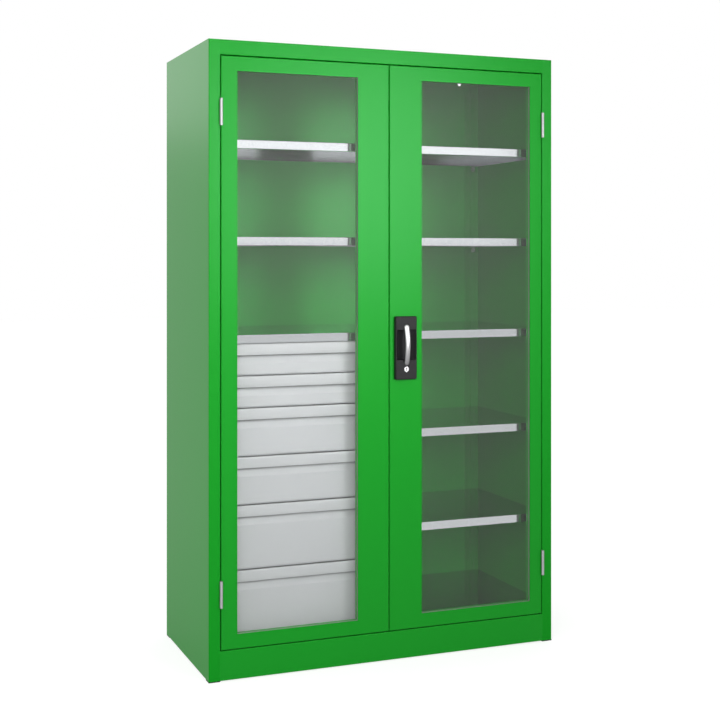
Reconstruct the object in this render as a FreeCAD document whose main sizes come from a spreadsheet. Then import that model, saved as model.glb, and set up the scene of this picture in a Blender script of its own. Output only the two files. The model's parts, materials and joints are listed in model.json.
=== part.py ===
# Two-door glazed cabinet with shelves and a stack of drawers behind its doors.
# X points to the right, Y to the back and Z up; the origin is on the floor, under the middle.
import FreeCAD, Part
import math
import os
import Sketcher

# Driving sizes in millimetres
DRIVING_SIZES = {
    # Carcass
    "width": 1200,
    "depth": 500,
    "height": 1950,
    "carcass_sheet": 1.2,
    "post_face": 36.5,
    "post_depth": 32,
    "post_lip": 24,
    "rear_flange": 56.5,
    "top_rail_height": 46.5,
    "top_rail_depth": 30,
    "top_rail_lip": 14,
    "plinth_top": 92,
    "plinth_depth": 40,
    "plinth_lip": 16,
    "panel_seam": 0.4,
    "floor_level": 118.5,
    "floor_set_back": 33,
    "partition_face": 28,
    "partition_lip": 8,
    "partition_flange": 30,
    "wall_hole_radius": 7.5,
    "wall_hole_from_side": 79,
    "wall_hole_from_top": 19,
    "glide_height": 3,
    "glide_plug_height": 18,
    "glide_play": 0.3,
    # Shelves
    "shelf_sheet": 1,
    "shelf_edge": 26,
    "shelf_lip": 12,
    "shelf_set_back": 42,
    "shelf_play": 1.5,
    "shelf_level_top": 1651.5,
    "shelf_level_upper": 1351.3,
    "shelf_level_middle": 1047.5,
    "shelf_level_lower": 729,
    "shelf_level_bottom": 422.5,
    "strip_width": 22,
    "strip_depth": 3,
    "strip_sheet": 1.2,
    "strip_inset": 1,
    "strip_margin": 12,
    "slot_width": 6,
    "slot_height": 14,
    "slot_pitch": 125,
    "clip_width": 16,
    "clip_tongue": 22,
    "clip_tab": 20,
    "clip_sheet": 2,
    # Doors
    "door_gap": 3,
    "door_thickness": 25,
    "door_sheet": 1,
    "hinge_stile": 44.5,
    "meeting_stile": 107.1,
    "lock_stile": 113.8,
    "door_rail": 44.6,
    "window_fold": 2.5,
    "glass_thickness": 4,
    "glass_overlap": 12,
    "gasket_wall": 1.5,
    "gasket_recess": 0.5,
    "frame_play": 0.3,
    "hinge_length": 82,
    "hinge_inset": 171,
    "hinge_proud": 5.5,
    "knuckle_radius": 5,
    "knuckle_gap": 0.4,
    "hinge_leaf": 20,
    "pin_radius": 2.5,
    "pin_play": 0.05,
    "pin_inset": 2,
    # Handle and lock of the right door
    "dish_width": 75,
    "dish_height": 202,
    "dish_proud": 13.5,
    "dish_corner": 5,
    "dish_edge": 2,
    "dish_from_meeting": 52.8,
    "trough_half_width": 34,
    "trough_depth": 19.5,
    "trough_height": 97,
    "trough_rise": 10,
    "tub_wall": 2.5,
    "tub_play": 0.8,
    "bow_width": 17,
    "bow_thickness": 8.5,
    "bow_side": 3.5,
    "bow_span": 113,
    "bow_rise": 9,
    "bow_play": 0.4,
    "bow_above_middle": 66,
    "neck_radius": 5,
    "turn_play": 0.3,
    "spindle_square": 6.5,
    "cylinder_radius": 8.5,
    "cylinder_proud": 1.5,
    "cylinder_below_middle": 68,
    "cylinder_chamfer": 0.8,
    "key_slot_width": 2,
    "key_slot_height": 8,
    "key_slot_depth": 4,
    "cam_square": 5,
    "cam_width": 11,
    "cam_length": 24,
    "cam_sheet": 2.4,
    "cam_play": 0.6,
    "gear_module": 2,
    "gear_thickness": 8.4,
    "gear_backlash": 0.3,
    "pinion_addendum": 1.6,
    "pinion_dedendum": 2.6,
    "rack_addendum": 1.3,
    "rack_dedendum": 2.2,
    "rack_back": 6,
    "journal_radius": 5,
    "case_wall": 2.4,
    "case_play": 0.3,
    "case_pad_height": 14,
    "case_overlap": 2,
    "rod_width": 8,
    "rod_depth": 16,
    "rod_play": 0.3,
    "rod_hole_play": 1,
    "guide_width": 18,
    "guide_height": 16,
    "guide_depth": 20,
    "guide_from_edge": 42,
    "guide_between": 390,
    # Drawers
    "drawer_stack_top": 1020.5,
    "drawer_height_1": 100,
    "drawer_height_2": 100,
    "drawer_height_3": 150,
    "drawer_height_4": 150,
    "drawer_height_5": 200,
    "drawer_height_6": 200,
    "drawer_gap": 3,
    "drawer_set_back": 42,
    "drawer_from_wall": 101.8,
    "drawer_from_partition": 60.8,
    "drawer_sheet": 1,
    "grip_height": 34,
    "grip_proud": 10,
    "grip_crown": 4,
    "scoop_depth": 7,
    "scoop_height": 26,
    "scoop_drop": 2,
    "front_foot": 30,
    "box_depth": 396,
    "box_drop": 20,
    "box_behind_scoop": 0.4,
    "housing_play": 1,
    "housing_behind_grip": 16,
    "housing_depth": 420,
    "housing_flange": 30,
    "runner_length": 400,
    "runner_space": 14,
    "runner_above_box": 8,
    "rail_height": 36,
    "rail_depth": 10,
    "rail_sheet": 1.2,
    "rail_lip": 4,
    "rail_play": 0.4,
}

# Counts, and shapes given as shares of the sizes that they follow
TEETH = 12
RACK_TEETH = 7
RACK_TEETH_PAST_CENTRE = 1.5
PRESSURE_ANGLE = math.radians(20)
BEND_SHARE = 2
TOOTH_FOOT_SHARE = 0.98
GRIP_CROWN_SHARES = [0, 0.12, 0.4, 0.75, 1]
GRIP_PROUD_SHARES = [0.45, 0.12, 0, 0.1, 0.4]
CASE_HALF_HEIGHT_SHARE = 17.5
RACK_REACH_SHARE = 16
TUB_SHARE = 0.84

# Points of a line or circle, and the origin as a geometry and its point, as sketches number them
START, END, CENTRE = range(1, 4)
ORIGIN = (-1, START)

PLAN = "XY_Plane"
FRONT = "XZ_Plane"
SIDE = "YZ_Plane"
TOUCH = 1e-4


class Size:
    """A length together with the formula that ties it to the cells of the sheet."""

    def __init__(self, formula, value):
        self.formula = formula
        self.value = value

    def __add__(self, other):
        return Size(f"({self.formula} + {other.formula})", self.value + other.value)

    def __sub__(self, other):
        return Size(f"({self.formula} - {other.formula})", self.value - other.value)

    def __mul__(self, other):
        if isinstance(other, Size):
            return Size(f"({self.formula} * {other.formula})", self.value * other.value)
        return Size(f"({other} * {self.formula})", self.value * other)

    def __truediv__(self, other):
        if isinstance(other, Size):
            return Size(f"({self.formula} / {other.formula})", self.value / other.value)
        return Size(f"({self.formula} / {other})", self.value / other)

    def __neg__(self):
        return self * -1


class SizeTable:
    """The driving sizes by name."""


doc = FreeCAD.newDocument("Cabinet")
table = doc.addObject("Spreadsheet::Sheet", "Sizes")
size = SizeTable()
for row, (alias, number) in enumerate(DRIVING_SIZES.items(), start=1):
    cell = f"A{row}"
    table.set(cell, str(number))
    table.setAlias(cell, alias)
    setattr(size, alias, Size(f"Sizes.{alias}", float(number)))
doc.recompute()

ZERO = Size("0", 0.0)
nodes = []

# Planes and edges that several pieces share
handle_reach = size.dish_proud + size.bow_play + size.bow_rise + size.bow_thickness
front = (handle_reach - size.depth) / 2
back = front + size.depth
half_width = size.width / 2
back_skin = back - size.carcass_sheet
inner_back = back_skin - size.carcass_sheet
wall_inside = half_width - size.carcass_sheet
post_edge = half_width - size.post_face
lip_plane = front + size.post_depth
top_plane = size.height - size.carcass_sheet
rail_bottom = size.height - size.top_rail_height
door_hinge_edge = post_edge - size.door_gap
door_meeting_edge = size.door_gap / 2
door_width = door_hinge_edge - door_meeting_edge
door_bottom = size.plinth_top + size.door_gap
door_top = rail_bottom - size.door_gap
door_middle = (door_bottom + door_top) / 2
window_width = door_width - size.lock_stile - size.hinge_stile
window_bottom = door_bottom + size.door_rail
window_top = door_top - size.door_rail
door_back = front + size.door_thickness
hinge_line_x = post_edge - size.door_gap / 2
hinge_line_y = front - size.hinge_proud

# Handle and lock positions
handle_x = door_meeting_edge + size.dish_from_meeting
dish_front = front - size.dish_proud
spindle_z = door_middle + size.bow_above_middle
cylinder_z = door_middle - size.cylinder_below_middle
trough_middle = door_middle + size.trough_rise
pitch_radius = size.gear_module * (TEETH / 2)
gear_front = front + size.rod_depth - size.gear_thickness / 2
gear_back = gear_front + size.gear_thickness
rod_y = front + size.rod_depth
rack_back_plane = pitch_radius + size.rack_dedendum + size.rack_back
rod_offset = rack_back_plane - size.rod_width / 2
rod_hole = size.rod_width / 2 + size.rod_hole_play
rack_reach = size.gear_module * RACK_REACH_SHARE

# Drawer positions
drawer_face = front + size.drawer_set_back
drawer_flat = drawer_face + size.grip_proud
stack_left = wall_inside - size.drawer_from_wall
stack_right = size.carcass_sheet + size.drawer_from_partition
drawer_x = -((stack_left + stack_right) / 2)
drawer_half_width = (stack_left - stack_right) / 2
box_half_width = drawer_half_width - size.runner_space
box_front = drawer_flat + size.scoop_depth + size.drawer_sheet + size.box_behind_scoop
housing_face = drawer_half_width + size.housing_play
stack_shelf_bottom = size.shelf_level_middle - size.shelf_edge


def node(thing, name):
    """Gives a finished piece its name and puts it on the list to write."""
    thing.Label = name
    nodes.append(thing)
    return thing


def place(thing, x=ZERO, y=ZERO, z=ZERO, turn=0):
    """Puts a piece at a point, turned about the upright through it by a number of degrees."""
    thing.Placement = FreeCAD.Placement(
        FreeCAD.Vector(x.value, y.value, z.value),
        FreeCAD.Rotation(FreeCAD.Vector(0, 0, 1), turn),
    )
    for axis, distance in (("x", x), ("y", y), ("z", z)):
        thing.setExpression(f"Placement.Base.{axis}", distance.formula)


def new_body(name):
    return doc.addObject("PartDesign::Body", name)


def new_sketch(body, plane, level=ZERO):
    """A sketch on one of the body's own planes, at a level along that plane's axis."""
    sketch = body.newObject("Sketcher::SketchObject", f"{body.Name}_sketch")
    support = next(item for item in body.Origin.OriginFeatures if item.Role == plane)
    sketch.AttachmentSupport = [(support, "")]
    sketch.MapMode = "FlatFace"
    along_normal = -level if plane == FRONT else level
    sketch.setExpression("AttachmentOffset.Base.z", along_normal.formula)
    return sketch


def tie(sketch, rules):
    """Adds constraints given as (kind, geometry, point, size) and binds each to its formula."""
    constraints = []
    for kind, geometry, point, length in rules:
        if kind == "Radius":
            constraints.append(Sketcher.Constraint(kind, geometry, length.value))
        else:
            constraints.append(Sketcher.Constraint(kind, *ORIGIN, geometry, point, length.value))
    for index, rule in zip(sketch.addConstraint(constraints), rules):
        sketch.setExpression(f"Constraints[{index}]", rule[3].formula)


def draw_outline(sketch, corners):
    """Draws a closed outline with straight sides through its corners."""
    first = sketch.GeometryCount
    count = len(corners)
    points = [FreeCAD.Vector(u.value, v.value, 0) for u, v in corners]
    sketch.addGeometry([Part.LineSegment(points[i], points[(i + 1) % count]) for i in range(count)], False)
    joined = [
        Sketcher.Constraint("Coincident", first + i, END, first + (i + 1) % count, START) for i in range(count)
    ]
    sketch.addConstraint(joined)
    rules = []
    for i, (u, v) in enumerate(corners):
        rules.append(("DistanceX", first + i, START, u))
        rules.append(("DistanceY", first + i, START, v))
    tie(sketch, rules)


def draw_rectangle(sketch, low_u, low_v, high_u, high_v):
    draw_outline(sketch, [(low_u, low_v), (high_u, low_v), (high_u, high_v), (low_u, high_v)])


def draw_circle(sketch, u, v, radius):
    middle = FreeCAD.Vector(u.value, v.value, 0)
    index = sketch.addGeometry(Part.Circle(middle, FreeCAD.Vector(0, 0, 1), radius.value), False)
    tie(sketch, [("DistanceX", index, CENTRE, u), ("DistanceY", index, CENTRE, v), ("Radius", index, 0, radius)])


def draw_bow_section(sketch, v, left, left_depth):
    """The bow's section from its left edge to its right: flat at v, with upright sides and a crowned face."""
    right = size.bow_width / 2
    crown = size.bow_thickness - size.bow_side
    radius = (right * right + crown * crown) / (crown * 2)
    corners = [(left, v - left_depth), (left, v), (right, v), (right, v - size.bow_side)]
    points = [FreeCAD.Vector(u.value, w.value, 0) for u, w in corners]
    middle = FreeCAD.Vector(0, (v - size.bow_thickness + radius).value, 0)
    angles = [math.atan2((point - middle).y, (point - middle).x) for point in (points[0], points[3])]
    circle = Part.Circle(middle, FreeCAD.Vector(0, 0, 1), radius.value)
    lines = sketch.addGeometry([Part.LineSegment(points[i], points[i + 1]) for i in range(3)], False)
    arc = sketch.addGeometry(Part.ArcOfCircle(circle, *angles), False)
    sketch.addConstraint([
        Sketcher.Constraint("Coincident", lines[0], END, lines[1], START),
        Sketcher.Constraint("Coincident", lines[1], END, lines[2], START),
        Sketcher.Constraint("Coincident", lines[2], END, arc, END),
        Sketcher.Constraint("Coincident", lines[0], START, arc, START),
    ])
    ends = [(lines[0], START), (lines[1], START), (lines[2], START), (lines[2], END)]
    rules = [("Radius", arc, 0, radius)]
    for (line, point), (u, w) in zip(ends, corners):
        rules.append(("DistanceX", line, point, u))
        rules.append(("DistanceY", line, point, w))
    tie(sketch, rules)


def folded(path, thickness, hand):
    """The outline of a sheet with square bends: the path is one face, the other lies on its left (1) or right (-1)."""
    normals = []
    for (u, v), (next_u, next_v) in zip(path, path[1:]):
        step_u = (next_u.value > u.value) - (next_u.value < u.value)
        step_v = (next_v.value > v.value) - (next_v.value < v.value)
        normals.append((-step_v * hand, step_u * hand))
    other_face = []
    for i, (u, v) in enumerate(path):
        beside = {normals[max(i - 1, 0)], normals[min(i, len(normals) - 1)]}
        shift_u = sum(normal[0] for normal in beside)
        shift_v = sum(normal[1] for normal in beside)
        other_face.append((u + thickness * shift_u, v + thickness * shift_v))
    return path + other_face[::-1]


def add_feature(kind, body, sketch, length, backwards):
    feature = body.newObject(f"PartDesign::{kind}", f"{body.Name}_{kind.lower()}")
    feature.Profile = sketch
    feature.setExpression("Length", length.formula)
    feature.Reversed = backwards
    return feature


def pad(body, sketch, length):
    """Adds material from the sketch towards the positive end of its axis."""
    on_front = sketch.AttachmentSupport[0][0].Role == FRONT
    return add_feature("Pad", body, sketch, length, on_front)


def cut(body, sketch, length):
    """Takes material away from the sketch towards the positive end of its axis."""
    on_front = sketch.AttachmentSupport[0][0].Role == FRONT
    return add_feature("Pocket", body, sketch, length, not on_front)


def pad_block(body, low, high):
    """Adds a block between two corners."""
    sketch = new_sketch(body, PLAN, low[2])
    draw_rectangle(sketch, low[0], low[1], high[0], high[1])
    pad(body, sketch, high[2] - low[2])


def cut_block(body, low, high):
    """Takes a block between two corners away."""
    sketch = new_sketch(body, PLAN, low[2])
    draw_rectangle(sketch, low[0], low[1], high[0], high[1])
    cut(body, sketch, high[2] - low[2])


def pad_disc(body, plane, u, v, radius, start, end):
    sketch = new_sketch(body, plane, start)
    draw_circle(sketch, u, v, radius)
    pad(body, sketch, end - start)


def cut_disc(body, plane, u, v, radius, start, end):
    sketch = new_sketch(body, plane, start)
    draw_circle(sketch, u, v, radius)
    cut(body, sketch, end - start)


def cut_rod_hole(body, x, low_z, high_z):
    """A square hole for a lock rod in a level sheet."""
    cut_block(body, (x - rod_hole, rod_y - rod_hole, low_z), (x + rod_hole, rod_y + rod_hole, high_z))


def prism(name, plane, outline, start, end):
    """A body made of one outline carried along the axis of its plane."""
    body = new_body(name)
    sketch = new_sketch(body, plane, start)
    draw_outline(sketch, outline)
    pad(body, sketch, end - start)
    return body


def group(name, pieces):
    """One node that holds several separate solids of a kind."""
    compound = doc.addObject("Part::Compound", name)
    compound.Links = pieces
    return node(compound, name)


def edges_on(shape, lines):
    """The names of the straight edges that lie on any of the lines, each a dict of fixed coordinates."""
    names = []
    for number, edge in enumerate(shape.Edges, start=1):
        ends = [vertex.Point for vertex in edge.Vertexes]
        for line in lines:
            if all(abs(getattr(end, axis) - place.value) < TOUCH for end in ends for axis, place in line.items()):
                names.append(f"Edge{number}")
                break
    return names


def dress_edges(kind, measure, body, length, lines):
    doc.recompute()
    base = body.Tip
    names = edges_on(base.Shape, lines)
    if not names:
        raise RuntimeError(f"{body.Name} has no edge on these lines")
    feature = body.newObject(f"PartDesign::{kind}", f"{body.Name}_{kind.lower()}")
    feature.Base = (base, names)
    feature.setExpression(measure, length.formula)


def round_edges(body, radius, lines):
    """Rounds the edges of the body that lie on the given lines."""
    dress_edges("Fillet", "Radius", body, radius, lines)


def bevel_edges(body, width, lines):
    """Bevels the edges of the body that lie on the given lines."""
    dress_edges("Chamfer", "Size", body, width, lines)


def side_panel(name, side):
    """A side wall folded in one piece with its front post and its rear flange."""
    path = [
        ((half_width - size.rear_flange) * side, back_skin),
        (half_width * side, back_skin),
        (half_width * side, front),
        (post_edge * side, front),
        (post_edge * side, lip_plane),
        ((post_edge + size.post_lip) * side, lip_plane),
    ]
    body = prism(name, PLAN, folded(path, size.carcass_sheet, -side), size.glide_height, top_plane)
    bends = [{"x": half_width * side, "y": front}, {"x": post_edge * side, "y": front}]
    round_edges(body, size.carcass_sheet * BEND_SHARE, bends)
    node(body, name)


def back_panel():
    """A flat sheet across the back with two holes near its top corners for fixing to a wall."""
    body = new_body("back_panel")
    pad_block(body, (-half_width, back_skin, size.glide_height), (half_width, back, top_plane))
    hole_z = size.height - size.wall_hole_from_top
    for side in (-1, 1):
        hole_x = (half_width - size.wall_hole_from_side) * side
        cut_disc(body, FRONT, hole_x, hole_z, size.wall_hole_radius, back_skin, back)
    node(body, "back_panel")


def top_panel():
    """The top sheet with the front rail folded down from it between the posts."""
    body = new_body("top_panel")
    pad_block(body, (-half_width, front, top_plane), (half_width, back, size.height))
    rail_back = front + size.top_rail_depth
    path = [
        (front, top_plane),
        (front, rail_bottom),
        (rail_back, rail_bottom),
        (rail_back, rail_bottom + size.top_rail_lip),
    ]
    sketch = new_sketch(body, SIDE, -post_edge)
    draw_outline(sketch, folded(path, size.carcass_sheet, 1))
    pad(body, sketch, post_edge * 2)
    cut_rod_hole(body, handle_x + rod_offset, rail_bottom, rail_bottom + size.carcass_sheet)
    bends = [{"y": front, "z": size.height}, {"y": front, "z": rail_bottom}]
    round_edges(body, size.carcass_sheet * BEND_SHARE, bends)
    node(body, "top_panel")


def plinth_panel():
    """The panel under the doors, folded back at its top and bottom."""
    reach = post_edge - size.panel_seam
    plinth_back = front + size.plinth_depth
    path = [
        (front + size.floor_set_back, size.glide_height),
        (front, size.glide_height),
        (front, size.plinth_top),
        (plinth_back, size.plinth_top),
        (plinth_back, size.plinth_top - size.plinth_lip),
    ]
    body = prism("plinth_panel", SIDE, folded(path, size.carcass_sheet, -1), -reach, reach)
    cut_rod_hole(body, handle_x - rod_offset, size.plinth_top - size.carcass_sheet, size.plinth_top)
    round_edges(body, size.carcass_sheet * BEND_SHARE, [{"y": front, "z": size.plinth_top}])
    node(body, "plinth_panel")


def floor_panel():
    """The cabinet floor, folded down at the front onto the plinth and at the back."""
    floor_front = front + size.floor_set_back
    path = [
        (floor_front, size.plinth_top),
        (floor_front, size.floor_level),
        (inner_back, size.floor_level),
        (inner_back, size.plinth_top),
    ]
    body = prism("floor_panel", SIDE, folded(path, size.carcass_sheet, -1), -wall_inside, wall_inside)
    round_edges(body, size.carcass_sheet * BEND_SHARE, [{"y": floor_front, "z": size.floor_level}])
    node(body, "floor_panel")


def partition_panel(name, side):
    """One of two folded panels that stand back to back between the drawers and the lower right shelves."""
    path = [
        (size.partition_flange * side, inner_back),
        (ZERO, inner_back),
        (ZERO, lip_plane),
        (size.partition_face * side, lip_plane),
        (size.partition_face * side, lip_plane + size.partition_lip),
    ]
    body = prism(name, PLAN, folded(path, size.carcass_sheet, side), size.floor_level, stack_shelf_bottom)
    node(body, name)


def floor_glides():
    """A plastic plug with a low foot under each corner of the carcass."""
    glides = []
    inside_post = size.carcass_sheet + size.glide_play
    for side in (-1, 1):
        for end in (-1, 1):
            body = new_body(f"glide_{len(glides) + 1}")
            near_y = front if end < 0 else back_skin - size.post_depth
            outer = sorted([post_edge * side, half_width * side], key=lambda edge: edge.value)
            pad_block(body, (outer[0], near_y, ZERO), (outer[1], near_y + size.post_depth, size.glide_height))
            pad_block(
                body,
                (outer[0] + inside_post, near_y + inside_post, size.glide_height),
                (
                    outer[1] - inside_post,
                    near_y + size.post_depth - inside_post,
                    size.glide_height + size.glide_plug_height,
                ),
            )
            glides.append(body)
    group("floor_glides", glides)


def slotted_strip(name, low_x, wall_y, facing, bottom, top):
    """A shallow channel on an upright flange, with a row of slots for the shelf clips."""
    face_y = wall_y + size.strip_depth * facing
    high_x = low_x + size.strip_width
    path = [(low_x, wall_y), (low_x, face_y), (high_x, face_y), (high_x, wall_y)]
    body = prism(name, PLAN, folded(path, size.strip_sheet, -facing), bottom, top)
    slot_x = low_x + size.strip_width / 2
    slot_bottom = bottom + size.strip_margin
    sketch = new_sketch(body, FRONT, face_y if facing < 0 else face_y - size.strip_sheet)
    draw_rectangle(
        sketch,
        slot_x - size.slot_width / 2,
        slot_bottom,
        slot_x + size.slot_width / 2,
        slot_bottom + size.slot_height,
    )
    pocket = cut(body, sketch, size.strip_sheet)
    doc.recompute()
    room = (top - bottom - size.strip_margin * 2 - size.slot_height).value
    steps = int(room // size.slot_pitch.value)
    pattern = body.newObject("PartDesign::LinearPattern", f"{name}_slots")
    pattern.Originals = [pocket]
    upright = next(item for item in body.Origin.OriginFeatures if item.Role == "Z_Axis")
    pattern.Direction = (upright, [""])
    pattern.Occurrences = steps + 1
    pattern.setExpression("Length", (size.slot_pitch * steps).formula)
    body.Tip = pattern
    return body


def strip_columns():
    """The low X, the front and back faces behind it and the height range of each pair of strips."""
    lip_low = post_edge + size.strip_inset
    partition_low = size.carcass_sheet + size.strip_inset
    sheet = size.carcass_sheet
    above_drawers = size.shelf_level_middle + size.strip_margin
    return {
        "left_wall": (-lip_low - size.strip_width, lip_plane, inner_back, above_drawers, top_plane),
        "right_wall": (lip_low, lip_plane, inner_back, size.floor_level, top_plane),
        "partition": (partition_low, lip_plane + sheet, inner_back - sheet, size.floor_level, stack_shelf_bottom),
    }


def shelf_strips():
    """Slotted strips in pairs on both walls and on the right face of the partition."""
    strips = []
    for word, (low_x, front_wall, back_wall, bottom, top) in strip_columns().items():
        strips.append(slotted_strip(f"{word}_front", low_x, front_wall, 1, bottom, top))
        strips.append(slotted_strip(f"{word}_back", low_x, back_wall, -1, bottom, top))
    group("shelf_strips", strips)


def shelf(name, low_x, high_x, level):
    """A folded steel shelf, open underneath, with turned-down edges and a lip under its front edge."""
    body = new_body(name)
    shelf_front = front + size.shelf_set_back
    shelf_back = inner_back - size.carcass_sheet - size.strip_depth - size.shelf_play / 2
    path = [
        (shelf_back, -size.shelf_edge),
        (shelf_back, ZERO),
        (shelf_front, ZERO),
        (shelf_front, -size.shelf_edge),
        (shelf_front + size.shelf_lip, -size.shelf_edge),
    ]
    sketch = new_sketch(body, SIDE, low_x)
    draw_outline(sketch, folded(path, size.shelf_sheet, 1))
    pad(body, sketch, high_x - low_x)
    for end_x in (low_x, high_x - size.shelf_sheet):
        sketch = new_sketch(body, SIDE, end_x)
        draw_rectangle(sketch, shelf_front, -size.shelf_edge, shelf_back, ZERO)
        pad(body, sketch, size.shelf_sheet)
    round_edges(body, size.shelf_sheet * BEND_SHARE, [{"y": shelf_front, "z": ZERO}])
    place(body, z=level)
    node(body, name)


def shelf_clip(name, x, face_y, facing, level):
    """A bent steel clip: a tab on the strip and a tongue under the shelf."""
    tongue_end = size.clip_tongue * facing
    path = [(ZERO, -size.clip_tab), (ZERO, ZERO), (tongue_end, ZERO)]
    low_x = -(size.clip_width / 2)
    body = prism(name, SIDE, folded(path, size.clip_sheet, -facing), low_x, size.clip_width / 2)
    place(body, x, face_y, level - size.shelf_edge)
    return body


def shelf_clips(rests):
    """A clip on the front and on the back strip for every place where a shelf rests on strips."""
    columns = strip_columns()
    clips = []
    for word, level in rests:
        low_x, front_wall, back_wall = columns[word][:3]
        x = low_x + size.strip_width / 2
        clips.append(shelf_clip(f"clip_{len(clips) + 1}", x, front_wall + size.strip_depth, 1, level))
        clips.append(shelf_clip(f"clip_{len(clips) + 1}", x, back_wall - size.strip_depth, -1, level))
    group("shelf_clips", clips)


def door_span(side):
    """The low and high X of a door and of its window."""
    door = [door_meeting_edge * side, door_hinge_edge * side]
    stile = size.lock_stile if side > 0 else size.meeting_stile
    window_near = door_meeting_edge + stile
    window = [window_near * side, (window_near + window_width) * side]
    return sorted(door, key=lambda edge: edge.value), sorted(window, key=lambda edge: edge.value)


def door_panel(name, side):
    """The door's outer skin, folded back at its edges and round the window."""
    (low_x, high_x), (window_low, window_high) = door_span(side)
    body = new_body(name)
    skin = size.door_sheet
    pad_block(body, (low_x, front, door_bottom), (high_x, door_back, door_top))
    cut_block(
        body, (low_x + skin, front + skin, door_bottom + skin), (high_x - skin, door_back, door_top - skin)
    )
    sketch = new_sketch(body, FRONT, front)
    draw_rectangle(sketch, window_low - skin, window_bottom - skin, window_high + skin, window_top + skin)
    pad(body, sketch, size.window_fold)
    sketch = new_sketch(body, FRONT, front)
    draw_rectangle(sketch, window_low, window_bottom, window_high, window_top)
    cut(body, sketch, size.window_fold)
    if side > 0:
        cut_lock_openings(body)
    bends = [
        {"x": low_x, "y": front},
        {"x": high_x, "y": front},
        {"y": front, "z": door_bottom},
        {"y": front, "z": door_top},
    ]
    round_edges(body, skin * BEND_SHARE, bends)
    node(body, name)


def cut_lock_openings(body):
    """Openings in the right door: one in its skin behind the dish, and one in each end for a rod."""
    across = size.trough_half_width * TUB_SHARE
    sketch = new_sketch(body, FRONT, front)
    draw_rectangle(
        sketch,
        handle_x - across,
        cylinder_z - size.cylinder_radius - size.tub_play,
        handle_x + across,
        spindle_z + size.neck_radius + size.tub_play,
    )
    cut(body, sketch, size.door_sheet)
    cut_rod_hole(body, handle_x + rod_offset, door_top - size.door_sheet, door_top)
    cut_rod_hole(body, handle_x - rod_offset, door_bottom, door_bottom + size.door_sheet)


def gasket_planes():
    """The front and back planes of the gasket and of the pane that it holds."""
    gasket_front = front + size.window_fold
    glass_front = gasket_front + size.gasket_wall
    glass_back = glass_front + size.glass_thickness
    return gasket_front, glass_front, glass_back, glass_back + size.gasket_wall


def door_gasket(name, side):
    """A rubber channel round the edge of the pane."""
    window_low, window_high = door_span(side)[1]
    gasket_front, glass_front, glass_back, gasket_back = gasket_planes()
    outer = size.glass_overlap + size.gasket_wall
    body = new_body(name)
    sketch = new_sketch(body, FRONT, gasket_front)
    draw_rectangle(
        sketch, window_low - outer, window_bottom - outer, window_high + outer, window_top + outer
    )
    inner = size.gasket_recess
    draw_rectangle(
        sketch, window_low - inner, window_bottom - inner, window_high + inner, window_top + inner
    )
    pad(body, sketch, gasket_back - gasket_front)
    sketch = new_sketch(body, FRONT, glass_front)
    pane = size.glass_overlap
    draw_rectangle(sketch, window_low - pane, window_bottom - pane, window_high + pane, window_top + pane)
    cut(body, sketch, size.glass_thickness)
    node(body, name)


def door_glass(name, side):
    """The window pane."""
    window_low, window_high = door_span(side)[1]
    glass_front, glass_back = gasket_planes()[1:3]
    pane = size.glass_overlap
    body = new_body(name)
    pad_block(
        body,
        (window_low - pane, glass_front, window_bottom - pane),
        (window_high + pane, glass_back, window_top + pane),
    )
    node(body, name)


def door_inner_frame(name, side):
    """The frame that closes the back of the door and presses on the gasket round the window."""
    (low_x, high_x), (window_low, window_high) = door_span(side)
    gasket_back = gasket_planes()[3]
    edge = size.door_sheet + size.frame_play
    skin = size.door_sheet
    opening = size.gasket_wall
    body = new_body(name)
    sketch = new_sketch(body, FRONT, door_back - skin)
    draw_rectangle(sketch, low_x + edge, door_bottom + edge, high_x - edge, door_top - edge)
    draw_rectangle(
        sketch, window_low - opening, window_bottom - opening, window_high + opening, window_top + opening
    )
    pad(body, sketch, skin)
    sketch = new_sketch(body, FRONT, gasket_back)
    for reach in (opening, opening + skin):
        draw_rectangle(sketch, window_low - reach, window_bottom - reach, window_high + reach, window_top + reach)
    pad(body, sketch, door_back - gasket_back)
    node(body, name)


def hinge_levels():
    return [door_bottom + size.hinge_inset, door_top - size.hinge_inset]


def hinge_half(name, side, leaf_edge, low_z, high_z):
    """Half of a lift-off hinge: a knuckle with a leaf that runs back through the door gap."""
    axis_x = hinge_line_x * side
    body = new_body(name)
    leaf_x = sorted([axis_x, leaf_edge * side], key=lambda edge: edge.value)
    pad_disc(body, PLAN, axis_x, hinge_line_y, size.knuckle_radius, low_z, high_z)
    pad_block(body, (leaf_x[0], hinge_line_y, low_z), (leaf_x[1], front + size.hinge_leaf, high_z))
    return body


def hinges():
    """Lower halves with their pins on the posts, and bored upper halves on the doors."""
    frame_halves = []
    for side, word in ((-1, "left"), (1, "right")):
        axis = (hinge_line_x * side, hinge_line_y)
        door_halves = []
        for number, level in enumerate(hinge_levels(), start=1):
            low_z = level - size.hinge_length / 2
            high_z = level + size.hinge_length / 2
            frame_top = level - size.knuckle_gap / 2
            door_low = level + size.knuckle_gap / 2
            bore_top = high_z - size.pin_inset
            lower = hinge_half(f"{word}_hinge_{number}_frame", side, post_edge, low_z, frame_top)
            pad_disc(lower, PLAN, *axis, size.pin_radius, frame_top, bore_top - size.pin_inset)
            frame_halves.append(lower)
            upper = hinge_half(f"{word}_hinge_{number}_door", side, door_hinge_edge, door_low, high_z)
            cut_disc(upper, PLAN, *axis, size.pin_radius + size.pin_play, door_low, bore_top)
            door_halves.append(upper)
        group(f"{word}_door_knuckles", door_halves)
    group("frame_knuckles", frame_halves)


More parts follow.
